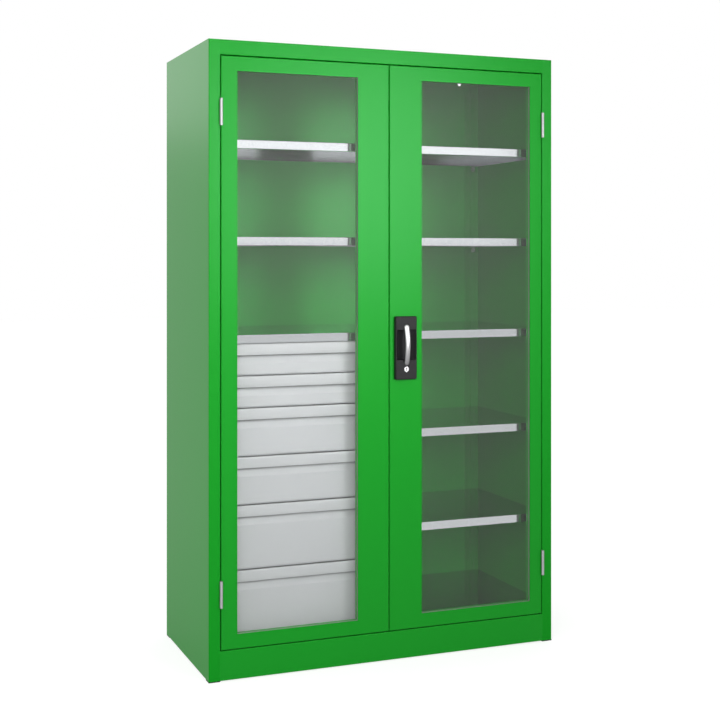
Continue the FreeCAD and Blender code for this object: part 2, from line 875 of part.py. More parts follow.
def handle_dish():
    """A moulded dish with a hollowed finger trough between two raised blocks."""
    body = new_body("handle_dish")
    half = size.trough_half_width
    depth = size.trough_depth
    trough_radius = (half * half + depth * depth) / (depth * 2)
    trough_axis_y = dish_front + depth - trough_radius
    low_z = trough_middle - size.trough_height / 2
    high_z = trough_middle + size.trough_height / 2
    tub_low = low_z - size.tub_wall
    tub_high = high_z + size.tub_wall
    tub_radius = trough_radius + size.tub_wall
    pad_disc(body, PLAN, handle_x, trough_axis_y, tub_radius, tub_low, tub_high)
    plate_low_x = handle_x - size.dish_width / 2
    plate_high_x = handle_x + size.dish_width / 2
    ahead = trough_axis_y - tub_radius * 2
    cut_block(
        body,
        (plate_low_x - tub_radius, ahead, tub_low),
        (plate_high_x + tub_radius, front - size.dish_edge, tub_high),
    )
    plate_low_z = door_middle - size.dish_height / 2
    plate_high_z = door_middle + size.dish_height / 2
    pad_block(body, (plate_low_x, dish_front, plate_low_z), (plate_high_x, front, plate_high_z))
    corners = [{"x": x, "z": z} for x in (plate_low_x, plate_high_x) for z in (plate_low_z, plate_high_z)]
    round_edges(body, size.dish_corner, corners)
    bevel_edges(body, size.dish_edge, [{"y": dish_front}])
    cut_disc(body, PLAN, handle_x, trough_axis_y, trough_radius, low_z, high_z)
    cut_disc(body, FRONT, handle_x, spindle_z, size.neck_radius + size.turn_play, dish_front, gear_front)
    bore = size.cylinder_radius + size.turn_play
    cut_disc(body, FRONT, handle_x, cylinder_z, bore, dish_front, front)
    node(body, "handle_dish")


def bow_handle():
    """A bow of crowned section on an arc, with domed ends, a round neck and a square spindle."""
    body = new_body("bow_handle")
    half_span = size.bow_span / 2
    arc_radius = (half_span * half_span + size.bow_rise * size.bow_rise) / (size.bow_rise * 2)
    foot = size.bow_rise - arc_radius
    sketch = new_sketch(body, PLAN)
    draw_bow_section(sketch, -arc_radius, -(size.bow_width / 2), size.bow_side)
    bar = body.newObject("PartDesign::Revolution", "bow_bar")
    bar.Profile = sketch
    bar.ReferenceAxis = (sketch, ["H_Axis"])
    bar.Midplane = True
    bar.setExpression("Angle", f"2 * asin({(half_span / arc_radius).formula})")
    for end in (-1, 1):
        sketch = new_sketch(body, PLAN, half_span * end)
        draw_bow_section(sketch, foot, ZERO, size.bow_thickness)
        dome = body.newObject("PartDesign::Revolution", "bow_dome")
        dome.Profile = sketch
        dome.ReferenceAxis = (sketch, ["V_Axis"])
        dome.Angle = 180
        dome.Reversed = end > 0
    neck_end = foot + gear_front - dish_front + size.bow_play
    pad_disc(body, FRONT, ZERO, half_span, size.neck_radius, foot, neck_end)
    half = size.spindle_square / 2
    sketch = new_sketch(body, FRONT, neck_end)
    draw_rectangle(sketch, -half, half_span - half, half, half_span + half)
    pad(body, sketch, size.gear_thickness)
    place(body, handle_x, dish_front - size.bow_play - foot, spindle_z - half_span)
    node(body, "bow_handle")


def involute(angle):
    return math.tan(angle) - angle


def tooth_half_angle(radius):
    """Half the angle that a pinion tooth takes up at a radius, from its involute flanks."""
    pitch = pitch_radius.value
    base = pitch * math.cos(PRESSURE_ANGLE)
    at_pitch = math.pi / (2 * TEETH) - size.gear_backlash.value / (2 * pitch)
    roll = math.acos(min(1, base / radius))
    return at_pitch + involute(PRESSURE_ANGLE) - involute(roll)


def drive_pinion():
    """The toothed wheel on the handle's spindle, with a journal in the back of the lock case."""
    body = new_body("drive_pinion")
    tip_radius = pitch_radius + size.pinion_addendum
    root_radius = pitch_radius - size.pinion_dedendum
    pad_disc(body, FRONT, ZERO, ZERO, root_radius, ZERO, size.gear_thickness)
    flank = [root_radius * TOOTH_FOOT_SHARE, pitch_radius, tip_radius]
    upper = []
    for radius in flank:
        angle = tooth_half_angle(radius.value)
        upper.append((radius * math.cos(angle), radius * math.sin(angle)))
    lower = [(u, -v) for u, v in upper]
    sketch = new_sketch(body, FRONT, ZERO)
    draw_outline(sketch, upper + lower[::-1])
    tooth = pad(body, sketch, size.gear_thickness)
    doc.recompute()
    pattern = body.newObject("PartDesign::PolarPattern", "pinion_teeth")
    pattern.Originals = [tooth]
    axle = next(item for item in body.Origin.OriginFeatures if item.Role == "Y_Axis")
    pattern.Axis = (axle, [""])
    pattern.Angle = 360
    pattern.Occurrences = TEETH
    body.Tip = pattern
    journal_end = size.gear_thickness + size.case_play + size.case_wall
    pad_disc(body, FRONT, ZERO, ZERO, size.journal_radius, size.gear_thickness, journal_end)
    half = size.spindle_square / 2
    sketch = new_sketch(body, FRONT, ZERO)
    draw_rectangle(sketch, -half, -half, half, half)
    cut(body, sketch, size.gear_thickness)
    place(body, handle_x, gear_front, spindle_z)
    node(body, "drive_pinion")


def lock_rod(name, side, rod_end):
    """A square rod with a toothed rack at the end that runs beside the pinion; side 1 goes up, -1 down."""
    body = new_body(name)
    rack_low = -rack_reach if side > 0 else -rack_reach / 2
    rack_high = rack_reach / 2 if side > 0 else rack_reach
    root = pitch_radius + size.rack_dedendum
    faces = sorted([root * side, rack_back_plane * side], key=lambda edge: edge.value)
    half = size.gear_thickness / 2
    pad_block(body, (faces[0], -half, rack_low), (faces[1], half, rack_high))
    pitch = size.gear_module * math.pi
    slope = math.tan(PRESSURE_ANGLE)
    at_pitch = size.gear_module * (math.pi / 4) - size.gear_backlash / 2
    at_tip = at_pitch - size.rack_addendum * slope
    at_root = at_pitch + size.rack_dedendum * slope
    tip = pitch_radius - size.rack_addendum
    first = pitch * RACK_TEETH_PAST_CENTRE * side
    sketch = new_sketch(body, FRONT, -half)
    draw_outline(
        sketch,
        [
            (root * side, first - at_root),
            (tip * side, first - at_tip),
            (tip * side, first + at_tip),
            (root * side, first + at_root),
        ],
    )
    tooth = pad(body, sketch, size.gear_thickness)
    doc.recompute()
    pattern = body.newObject("PartDesign::LinearPattern", f"{name}_teeth")
    pattern.Originals = [tooth]
    upright = next(item for item in body.Origin.OriginFeatures if item.Role == "Z_Axis")
    pattern.Direction = (upright, [""])
    pattern.Reversed = side > 0
    pattern.Occurrences = RACK_TEETH
    pattern.setExpression("Length", (pitch * (RACK_TEETH - 1)).formula)
    body.Tip = pattern
    reach = rod_end - spindle_z
    start, end = (rack_high, reach) if side > 0 else (reach, rack_low)
    edges = sorted([rack_back_plane * side, (rack_back_plane - size.rod_width) * side], key=lambda edge: edge.value)
    pad_block(body, (edges[0], -(size.rod_width / 2), start), (edges[1], size.rod_width / 2, end))
    place(body, handle_x, rod_y, spindle_z)
    node(body, name)


def lock_case():
    """The box behind the dish that holds the pinion and guides both racks."""
    body = new_body("lock_case")
    half_height = size.gear_module * CASE_HALF_HEIGHT_SHARE
    inside = rack_back_plane + size.case_play
    outside = inside + size.case_wall
    cavity_front = gear_front - size.case_play
    cavity_back = gear_back + size.case_play
    case_front = cavity_front - size.case_wall
    case_back = cavity_back + size.case_wall
    low_z = spindle_z - half_height
    high_z = spindle_z + half_height
    pad_block(body, (handle_x - outside, case_front, low_z), (handle_x + outside, case_back, high_z))
    skin_back = front + size.door_sheet
    pad_block(
        body,
        (handle_x - outside, skin_back, high_z - size.case_pad_height),
        (handle_x + outside, case_front + size.case_overlap, high_z),
    )
    tooth_room = pitch_radius + size.pinion_addendum + size.case_play
    cut_disc(body, FRONT, handle_x, spindle_z, tooth_room, cavity_front, cavity_back)
    channel = pitch_radius - size.rack_addendum - size.case_play
    closed = half_height - size.case_wall
    for side in (-1, 1):
        edges = sorted([channel * side, inside * side], key=lambda edge: edge.value)
        ends = (-closed, half_height) if side > 0 else (-half_height, closed)
        cut_block(
            body,
            (handle_x + edges[0], cavity_front, spindle_z + ends[0]),
            (handle_x + edges[1], cavity_back, spindle_z + ends[1]),
        )
    neck_hole = size.neck_radius + size.turn_play
    cut_disc(body, FRONT, handle_x, spindle_z, neck_hole, case_front, cavity_front)
    cut_disc(body, FRONT, handle_x, spindle_z, size.journal_radius + size.turn_play, cavity_back, case_back)
    node(body, "lock_case")


def rod_guides():
    """Blocks on the back of the right door's skin that hold the rods in line."""
    guides = []
    skin_back = front + size.door_sheet
    first_low = door_bottom + size.guide_from_edge
    first_high = door_top - size.guide_from_edge
    places = [
        (1, first_high),
        (1, first_high - size.guide_between),
        (-1, first_low),
        (-1, first_low + size.guide_between),
    ]
    for side, level in places:
        x = handle_x + rod_offset * side
        body = new_body(f"guide_{len(guides) + 1}")
        low_z = level - size.guide_height / 2
        high_z = level + size.guide_height / 2
        pad_block(
            body,
            (x - size.guide_width / 2, skin_back, low_z),
            (x + size.guide_width / 2, skin_back + size.guide_depth, high_z),
        )
        slide = size.rod_width / 2 + size.rod_play
        cut_block(body, (x - slide, rod_y - slide, low_z), (x + slide, rod_y + slide, high_z))
        guides.append(body)
    group("rod_guides", guides)


def lock_cylinder():
    """The key cylinder in the dish, with a key slot in its face and a square tail for the cam."""
    body = new_body("lock_cylinder")
    face = dish_front - size.cylinder_proud
    tail_start = rod_y + size.rod_width / 2 + size.cam_play
    pad_disc(body, FRONT, handle_x, cylinder_z, size.cylinder_radius, face, tail_start)
    bevel_edges(body, size.cylinder_chamfer, [{"y": face}])
    half = size.cam_square / 2
    sketch = new_sketch(body, FRONT, tail_start)
    draw_rectangle(sketch, handle_x - half, cylinder_z - half, handle_x + half, cylinder_z + half)
    pad(body, sketch, size.cam_sheet)
    sketch = new_sketch(body, FRONT, face)
    slot_x = size.key_slot_width / 2
    slot_z = size.key_slot_height / 2
    draw_rectangle(sketch, handle_x - slot_x, cylinder_z - slot_z, handle_x + slot_x, cylinder_z + slot_z)
    cut(body, sketch, size.key_slot_depth)
    node(body, "lock_cylinder")

    cam = new_body("lock_cam")
    sketch = new_sketch(cam, FRONT, tail_start)
    side = size.cam_width / 2
    draw_rectangle(sketch, handle_x - side, cylinder_z - size.cam_length, handle_x + side, cylinder_z + side)
    draw_rectangle(sketch, handle_x - half, cylinder_z - half, handle_x + half, cylinder_z + half)
    pad(cam, sketch, size.cam_sheet)
    node(cam, "lock_cam")


def drawer_heights():
    return [getattr(size, f"drawer_height_{number}") for number in range(1, 7)]


def drawer_floors():
    """The height above the cabinet's floor glides of the bottom of each drawer's place in the stack."""
    level = size.drawer_stack_top
    floors = []
    for height in drawer_heights():
        level = level - height
        floors.append(level)
    return floors


def drawer_front(name, height, floor):
    """A folded drawer front with a rolled grip along its top and a finger scoop under the grip."""
    top = height - size.drawer_gap / 2
    bottom = size.drawer_gap / 2
    sheet = size.drawer_sheet
    flat = size.grip_proud
    scoop = flat + size.scoop_depth
    grip_bottom = top - size.grip_height
    roll = [
        (size.grip_crown * proud, top - size.grip_height * down)
        for down, proud in zip(GRIP_CROWN_SHARES, GRIP_PROUD_SHARES)
    ]
    foot = flat + size.front_foot
    outer = [(scoop, top)] + roll + [
        (scoop, grip_bottom - size.scoop_drop),
        (flat, grip_bottom - size.scoop_drop - size.scoop_height),
        (flat, bottom),
        (foot, bottom),
    ]
    inner = [
        (foot, bottom + sheet),
        (flat + sheet, bottom + sheet),
        (flat + sheet, grip_bottom - size.scoop_drop - size.scoop_height + sheet / 2),
        (scoop + sheet, grip_bottom - size.scoop_drop + sheet),
        (roll[-1][0] + sheet, roll[-1][1] + sheet),
        (roll[2][0] + sheet, roll[2][1]),
        (roll[0][0] + sheet, top - sheet),
        (scoop, top - sheet),
    ]
    body = prism(name, SIDE, outer + inner, -drawer_half_width, drawer_half_width)
    place(body, drawer_x, drawer_face, floor)
    node(body, name)


def drawer_box(name, height, floor):
    """A folded tray that stands on the foot of the drawer front."""
    sheet = size.drawer_sheet
    bottom = size.drawer_gap / 2 + sheet
    top = height - size.box_drop
    near = box_front - drawer_face
    body = new_body(name)
    pad_block(body, (-box_half_width, near, bottom), (box_half_width, near + size.box_depth, top))
    cut_block(
        body,
        (-box_half_width + sheet, near + sheet, bottom + sheet),
        (box_half_width - sheet, near + size.box_depth - sheet, top),
    )
    place(body, drawer_x, drawer_face, floor)
    node(body, name)


def runner_middle(floor):
    bottom = size.drawer_gap / 2 + size.drawer_sheet
    return floor + bottom + size.runner_above_box + size.rail_height / 2


def drawer_rail(name, side, floor):
    """A lipped channel on the drawer housing."""
    half = size.rail_height / 2
    wall = housing_face * side
    open_side = wall - size.rail_depth * side
    path = [
        (open_side, half - size.rail_lip),
        (open_side, half),
        (wall, half),
        (wall, -half),
        (open_side, -half),
        (open_side, -half + size.rail_lip),
    ]
    body = prism(name, FRONT, folded(path, size.rail_sheet, -side), ZERO, size.runner_length)
    place(body, drawer_x, box_front, runner_middle(floor))
    return body


def drawer_runner(name, side, floor):
    """The sliding half: a head inside the channel and a neck out to the drawer's side."""
    head = size.rail_height / 2 - size.rail_sheet - size.rail_play
    neck = size.rail_height / 2 - size.rail_lip - size.rail_play
    head_far = (housing_face - size.rail_sheet - size.rail_play) * side
    head_near = (housing_face - size.rail_depth + size.rail_sheet + size.rail_play) * side
    drawer_side = box_half_width * side
    upper = [(drawer_side, neck), (head_near, neck), (head_near, head), (head_far, head)]
    lower = [(u, -v) for u, v in upper]
    body = prism(name, FRONT, upper + lower[::-1], ZERO, size.runner_length)
    place(body, drawer_x, box_front, runner_middle(floor))
    return body


def drawers():
    """Six drawers on channel runners, from the top down."""
    rails = []
    for number, (height, floor) in enumerate(zip(drawer_heights(), drawer_floors()), start=1):
        drawer_front(f"drawer_{number}_front", height, floor)
        drawer_box(f"drawer_{number}_box", height, floor)
        runners = []
        for side, word in ((-1, "left"), (1, "right")):
            rails.append(drawer_rail(f"rail_{number}_{word}", side, floor))
            runners.append(drawer_runner(f"runner_{number}_{word}", side, floor))
        group(f"drawer_{number}_runners", runners)
    group("drawer_rails", rails)


def drawer_housing():
    """Two upright plates that carry the rails, flanged out to the side wall and to the partition."""
    near = drawer_face + size.housing_behind_grip
    far = near + size.housing_depth
    plates = []
    for side, wall_x, word in ((-1, -wall_inside, "left"), (1, -size.carcass_sheet, "right")):
        face_x = drawer_x + housing_face * side
        path = [
            (wall_x, near),
            (face_x + size.carcass_sheet * side, near),
            (face_x + size.carcass_sheet * side, far),
            (face_x + size.carcass_sheet * side + size.housing_flange * side, far),
        ]
        outline = folded(path, size.carcass_sheet, side)
        plates.append(prism(f"housing_{word}", PLAN, outline, size.floor_level, stack_shelf_bottom))
    group("drawer_housing_plates", plates)


def shelves():
    """Three shelves across the whole width, the lowest of them over the drawers, and two more on the right."""
    reach = wall_inside - size.shelf_play
    partition_side = size.carcass_sheet + size.shelf_play
    whole = [
        ("top_shelf", size.shelf_level_top),
        ("upper_shelf", size.shelf_level_upper),
        ("middle_shelf", size.shelf_level_middle),
    ]
    right = [
        ("right_lower_shelf", size.shelf_level_lower),
        ("right_bottom_shelf", size.shelf_level_bottom),
    ]
    rests = []
    for name, level in whole:
        shelf(name, -reach, reach, level)
        rests.append(("right_wall", level))
        if name != "middle_shelf":
            rests.append(("left_wall", level))
    for name, level in right:
        shelf(name, partition_side, reach, level)
        rests.append(("right_wall", level))
        rests.append(("partition", level))
    shelf_clips(rests)


def carcass():
    side_panel("left_side_panel", -1)
    side_panel("right_side_panel", 1)
    back_panel()
    top_panel()
    floor_panel()
    plinth_panel()
    partition_panel("left_partition_panel", -1)
    partition_panel("right_partition_panel", 1)
    floor_glides()
    shelf_strips()


def doors():
    for side, word in ((-1, "left"), (1, "right")):
        door_panel(f"{word}_door_panel", side)
        door_gasket(f"{word}_door_gasket", side)
        door_glass(f"{word}_door_glass", side)
        door_inner_frame(f"{word}_door_inner_frame", side)
    hinges()


def lock():
    handle_dish()
    bow_handle()
    drive_pinion()
    lock_rod("upper_rod", 1, door_top)
    lock_rod("lower_rod", -1, door_bottom)
    lock_case()
    rod_guides()
    lock_cylinder()


def check_and_write():
    """Writes every node's solids, after making sure that nothing failed."""
    doc.recompute()
    for thing in doc.Objects:
        if "Invalid" in thing.State or "Error" in thing.State:
            raise RuntimeError(f"{thing.Label} failed: {thing.State}")
    for piece in nodes:
        if piece.Shape.isNull() or not piece.Shape.isValid() or not piece.Shape.Solids:
            raise RuntimeError(f"{piece.Label} has no sound solid")
    os.makedirs("parts", exist_ok=True)
    for piece in nodes:
        piece.Shape.exportStep(f"parts/{piece.Label}.step")
    print(len(nodes), "nodes,", sum(len(piece.Shape.Solids) for piece in nodes), "solids")


carcass()
shelves()
doors()
lock()
drawer_housing()
drawers()
check_and_write()
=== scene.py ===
import json
import math
from typing import NamedTuple

import bmesh
import bpy
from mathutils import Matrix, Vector


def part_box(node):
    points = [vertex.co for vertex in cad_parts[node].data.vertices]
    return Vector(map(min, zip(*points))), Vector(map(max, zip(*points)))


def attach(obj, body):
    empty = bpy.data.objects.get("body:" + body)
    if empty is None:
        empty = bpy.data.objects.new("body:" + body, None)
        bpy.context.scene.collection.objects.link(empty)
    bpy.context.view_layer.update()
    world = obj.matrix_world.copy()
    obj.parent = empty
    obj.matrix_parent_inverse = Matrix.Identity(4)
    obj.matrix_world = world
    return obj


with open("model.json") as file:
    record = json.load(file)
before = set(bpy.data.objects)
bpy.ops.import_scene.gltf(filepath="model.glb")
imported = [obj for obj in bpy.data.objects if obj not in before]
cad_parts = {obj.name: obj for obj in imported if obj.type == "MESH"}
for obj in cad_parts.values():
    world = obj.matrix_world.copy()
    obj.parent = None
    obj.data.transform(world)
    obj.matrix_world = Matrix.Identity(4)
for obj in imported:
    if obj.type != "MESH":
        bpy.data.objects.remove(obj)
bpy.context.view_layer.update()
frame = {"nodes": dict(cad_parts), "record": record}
nodes = frame["nodes"]
subparts = frame["record"]["subparts"]


class Lamp(NamedTuple):
    """A square soft box; lengths in metres, power in watts and spread in degrees."""

    place: tuple
    target: tuple
    edge: float
    power: float
    spread: float


# Camera, from a perspective fit to the straight edges in the photograph; metres, degrees, lens in mm
CAMERA_FROM_MIDDLE = -1.6523
CAMERA_BEFORE_FRONT = 3.5266
CAMERA_HEIGHT = 1.2955
CAMERA_LEVEL = 90.0
CAMERA_TURN = -20.12
CAMERA_LENS = 60.785
CAMERA_SHIFT = (0.1066, -0.1461)

# Studio
WHITE = (1.0, 1.0, 1.0, 1.0)
FLOOR_SIZE = 40.0
FLOOR_GREY = 0.4
FLOOR_GREY_LIGHT = 0.408
FLOOR_TONE_SCALE = 0.8
FLOOR_SHADOW_SHARE = 0.36
FLOOR_GLOW = 0.71
SKY_OVERHEAD = 1.12
SKY_HORIZON = 0.42
SKY_SEEN = 1.0
LAMPS = {
    "key": Lamp((1.0, -3.0, 1.8), (-0.3, -0.23, 1.4), 1.2, 5.7, 50.0),
    "front": Lamp((-1.5, -3.4, 1.75), (0.0, 0.0, 0.6), 2.0, 59.0, 180.0),
    "screen": Lamp((1.6, -4.5, 2.7), (0.2, 0.0, 2.7), 2.6, 19.0, 180.0),
    "fill": Lamp((-4.4, -0.6, 2.8), (-0.6, 0.0, 1.7), 2.6, 22.0, 180.0),
    "rim": Lamp((-2.0, 4.2, 3.0), (-0.6, 0.0, 1.6), 1.8, 11.0, 180.0),
}
LAMPS_OFF_SHELVES = ("key", "front")

# Powder paint; colours here and below are linear
GREEN = (0.006, 0.255, 0.014)
GREEN_WARM = (0.008, 0.265, 0.014)
GREEN_ROUGHNESS = 0.33
# A lighter copy of the green, painted light for the back panel inside the cabinet
GREEN_INSIDE_PAINTED_LIGHT = (0.012, 0.32, 0.025)
GREEN_INSIDE_PAINTED_LIGHT_WARM = (0.014, 0.33, 0.025)
GREEN_INSIDE_ROUGHNESS = 0.4
GREEN_TINT = (0.55, 1.0, 0.75, 1.0)
DRAWER_GREY = (0.415, 0.431, 0.438)
DRAWER_GREY_LIGHT = (0.435, 0.451, 0.457)
DRAWER_ROUGHNESS = 0.45
PAINT_GLOSS = 0.17
PAINT_TONE_SCALE = 2.2
PAINT_TONE_DETAIL = 3.0
PAINT_GRAIN_SCALE = 1500.0
PAINT_GRAIN_SPREAD = 0.05
PEEL_SCALE = 420.0
PEEL_DETAIL = 1.0
PEEL_HEIGHT = 0.00012
PEEL_STRENGTH = 0.35
# Gloss of the sides, lowered towards the floor as painted shade on their reflection
SIDE_GLOSS_AT_FLOOR = 0.05
SIDE_GLOSS_ABOVE = 0.21
SIDE_GLOSS_HEIGHT = 1.6
# Reach of the painted shade that darkens the grey paint in narrow gaps and under grips
CREVICE_SHADE_REACH = 0.01

# Zinc-coated sheet
ZINC_DARK = (0.45, 0.47, 0.485)
ZINC_LIGHT = (0.48, 0.50, 0.515)
ZINC_ROUGHNESS = (0.11, 0.15)
SPANGLE_SCALE = 260.0
ROLLING_STRETCH = (6.0, 900.0, 900.0)
ROLLING_HEIGHT = 0.000004
ROLLING_STRENGTH = 0.2

# Bare and plated metal
SILVER = (0.68, 0.68, 0.685)
SILVER_ROUGHNESS = 0.24
# Colour of the painted shade at the lower end of the bow
SILVER_PAINTED_SHADE = (0.2, 0.2, 0.204)
BOW_ROUGHNESS = 0.3
STEEL = (0.36, 0.36, 0.375)
STEEL_ROUGHNESS = 0.48
STEEL_DARK = (0.3, 0.3, 0.31)
STEEL_DARK_ROUGHNESS = 0.4
BRUSH_STRETCH = (2500.0, 2500.0, 60.0)
BRUSH_SHADE = 0.92
BRUSH_SMOOTHER = 0.05
BRUSH_ROUGHER = 0.07
BRUSH_HEIGHT = 0.00001
BRUSH_STRENGTH = 0.25
LOCK_ROUGHNESS = (0.22, 0.32)
LOCK_GRAIN_SCALE = 900.0
# Size of the painted shade over the keyway
KEYWAY_WIDTH = 0.0022
KEYWAY_HEIGHT = 0.0085

# Plastic, rubber and glass
BLACK_PLASTIC = (0.006, 0.006, 0.007)
BLACK_PLASTIC_WORN = (0.011, 0.011, 0.012)
BLACK_PLASTIC_ROUGHNESS = 0.48
RUBBER = (0.24, 0.245, 0.24)
RUBBER_DUSTY = (0.3, 0.305, 0.3)
RUBBER_ROUGHNESS = 0.7
PLASTIC_GLOSS = 0.2
PLASTIC_TONE_SCALE = 40.0
PLASTIC_TONE_DETAIL = 3.0
GRAIN_SCALE = 900.0
GRAIN_DETAIL = 3.0
GRAIN_SMOOTHER = 0.06
GRAIN_ROUGHER = 0.08
GRAIN_HEIGHT = 0.00018
GRAIN_STRENGTH = 0.5
PANE = (0.88, 0.90, 0.88)
PANE_SMEARED = (1.012, 1.035, 1.012)
PANE_VEIL = 0.027
PANE_ROUGHNESS = (0.2, 0.3)
PANE_BENDING = 1.5
SMEAR_STRETCH = (5.0, 5.0, 1.6)
SMEAR_DETAIL = 3.0

# Welds along the posts, in metres
DOOR_GAP = 0.003
SEAM_GAP = 0.0004
SEAM_BEND = 0.0016
SEAM_SET_BACK = 0.00003
SEAM_DEPTH = 0.0014


class Nodes:
    """A node tree with short ways to add to it."""

    def __init__(self, tree):
        self.tree = tree

    def feed(self, socket, value):
        """Links an input to an output, or gives it a fixed value."""
        if isinstance(value, bpy.types.NodeSocket):
            self.tree.links.new(value, socket)
        else:
            socket.default_value = value

    def add(self, kind, **inputs):
        """A new node; inputs go by name, with an underscore for each space."""
        node = self.tree.nodes.new(kind)
        for name, value in inputs.items():
            self.feed(node.inputs[name.replace("_", " ")], value)
        return node

    def calculate(self, operation, *values):
        node = self.tree.nodes.new("ShaderNodeMath")
        node.operation = operation
        for socket, value in zip(node.inputs, values):
            self.feed(socket, value)
        return node.outputs["Value"]

    def join(self, kind, *values):
        """The shader that comes out of a node whose inputs are filled in their order."""
        node = self.tree.nodes.new(kind)
        for socket, value in zip(node.inputs, values):
            self.feed(socket, value)
        return node.outputs["Shader"]

    def seen_directly(self):
        """1 for rays that show the background itself: from the camera, in a reflection or through glass."""
        ray = self.add("ShaderNodeLightPath").outputs
        seen = self.calculate("MAXIMUM", ray["Is Camera Ray"], ray["Is Glossy Ray"])
        return self.calculate("MAXIMUM", seen, ray["Is Transmission Ray"])


class Material(Nodes):
    """A procedural material that is put together node by node, in the object's own coordinates."""

    def __init__(self, name):
        self.material = bpy.data.materials.new(name)
        self.material.use_nodes = True
        super().__init__(self.material.node_tree)
        self.shader = self.tree.nodes["Principled BSDF"]
        self.place = self.add("ShaderNodeTexCoord").outputs["Object"]

    def set(self, **inputs):
        """Sets or links inputs of the surface shader."""
        for name, value in inputs.items():
            self.feed(self.shader.inputs[name.replace("_", " ")], value)

    def noise(self, scale, detail=2.0):
        node = self.add("ShaderNodeTexNoise", Vector=self.place, Scale=scale, Detail=detail)
        return node.outputs["Fac"]

    def streaks(self, stretch, detail=2.0):
        """Noise with a scale of its own along each axis."""
        place = self.add("ShaderNodeMapping", Vector=self.place, Scale=stretch).outputs["Vector"]
        return self.add("ShaderNodeTexNoise", Vector=place, Scale=1.0, Detail=detail).outputs["Fac"]

    def blend(self, factor, low, high):
        """A colour between two, by a factor from 0 to 1."""
        mix = self.tree.nodes.new("ShaderNodeMix")
        mix.data_type = "RGBA"
        self.feed(mix.inputs["Factor"], factor)
        for socket, colour in zip([s for s in mix.inputs if s.type == "RGBA"], (low, high)):
            socket.default_value = (*colour, 1.0)
        return next(s for s in mix.outputs if s.type == "RGBA")

    def between(self, factor, low, high):
        """A number between two, by a factor from 0 to 1."""
        return self.add("ShaderNodeMapRange", Value=factor, To_Min=low, To_Max=high).outputs["Result"]

    def along_height(self, bottom, top, low, high):
        """A number that changes evenly from one height to another and stays the same beyond them."""
        height = self.add("ShaderNodeSeparateXYZ", Vector=self.place).outputs["Z"]
        heights = {"From_Min": bottom, "From_Max": top}
        node = self.add("ShaderNodeMapRange", Value=height, To_Min=low, To_Max=high, **heights)
        return node.outputs["Result"]

    def bump(self, height, distance, strength):
        node = self.add("ShaderNodeBump", Height=height, Distance=distance, Strength=strength)
        return node.outputs["Normal"]


def powder_coat(name, colour, other, roughness, tint):
    """Baked powder paint with a fine orange peel and a slight unevenness of tone and gloss."""
    m = Material(name)
    grain = m.noise(PAINT_GRAIN_SCALE)
    m.set(
        Base_Color=m.blend(m.noise(PAINT_TONE_SCALE, PAINT_TONE_DETAIL), colour, other),
        Roughness=m.between(grain, roughness - PAINT_GRAIN_SPREAD, roughness + PAINT_GRAIN_SPREAD),
        Specular_IOR_Level=PAINT_GLOSS,
        Specular_Tint=tint,
        Normal=m.bump(m.noise(PEEL_SCALE, PEEL_DETAIL), PEEL_HEIGHT, PEEL_STRENGTH),
    )
    return m


def green_outside():
    return powder_coat("green_powder_coat", GREEN, GREEN_WARM, GREEN_ROUGHNESS, GREEN_TINT).material


def green_sides():
    """The outside's paint with less gloss towards the floor, painted shade on its reflection there."""
    m = powder_coat("green_powder_coat_sides", GREEN, GREEN_WARM, GREEN_ROUGHNESS, GREEN_TINT)
    # Painted shade: the reflection dims towards the floor
    gloss = m.along_height(0.0, SIDE_GLOSS_HEIGHT, SIDE_GLOSS_AT_FLOOR, SIDE_GLOSS_ABOVE)
    m.set(Specular_IOR_Level=gloss)
    return m.material


def green_inside_painted_light():
    # Painted light: the outside green made lighter, standing in for more light inside the cabinet
    colours = (GREEN_INSIDE_PAINTED_LIGHT, GREEN_INSIDE_PAINTED_LIGHT_WARM)
    return powder_coat("green_powder_coat_inside_painted_light", *colours, GREEN_INSIDE_ROUGHNESS, GREEN_TINT).material


def drawer_grey():
    """Grey paint, with painted shade darkening it in the gaps between drawer fronts and under their grips.
    """
    m = powder_coat("grey_powder_coat", DRAWER_GREY, DRAWER_GREY_LIGHT, DRAWER_ROUGHNESS, WHITE)
    tone = m.shader.inputs["Base Color"].links[0].from_socket
    # Painted shade: occlusion darkens the grey where other parts close in on it
    painted_crevice_shade = m.add("ShaderNodeAmbientOcclusion", Color=tone, Distance=CREVICE_SHADE_REACH)
    m.set(Base_Color=painted_crevice_shade.outputs["Color"])
    return m.material


def galvanised():
    """Smooth zinc-coated sheet with a faint spangle and the marks of rolling."""
    m = Material("galvanised_sheet")
    cells = m.add("ShaderNodeTexVoronoi", Vector=m.place, Scale=SPANGLE_SCALE)
    flake = m.add("ShaderNodeSeparateColor", Color=cells.outputs["Color"]).outputs["Red"]
    rolling = m.streaks(ROLLING_STRETCH)
    m.set(
        Base_Color=m.blend(flake, ZINC_DARK, ZINC_LIGHT),
        Metallic=1.0,
        Roughness=m.between(rolling, *ZINC_ROUGHNESS),
        Normal=m.bump(rolling, ROLLING_HEIGHT, ROLLING_STRENGTH),
    )
    return m.material


def brushed(name, colour, roughness):
    """Metal with fine marks along its length."""
    m = Material(name)
    marks = m.streaks(BRUSH_STRETCH)
    m.set(
        Base_Color=m.blend(marks, [BRUSH_SHADE * part for part in colour], colour),
        Metallic=1.0,
        Roughness=m.between(marks, roughness - BRUSH_SMOOTHER, roughness + BRUSH_ROUGHER),
        Normal=m.bump(marks, BRUSH_HEIGHT, BRUSH_STRENGTH),
    )
    return m


def bow_painted_shade():
    """Brushed metal with painted shade: its colour darkens towards the lower end."""
    m = brushed("silver_painted_shade", SILVER, BOW_ROUGHNESS)
    low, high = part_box("bow_handle")
    # Painted shade: the silver darkens evenly from the top of the bow to its lower end
    m.set(Base_Color=m.blend(m.along_height(low.z, high.z, 0.0, 1.0), SILVER_PAINTED_SHADE, SILVER))
    return m.material


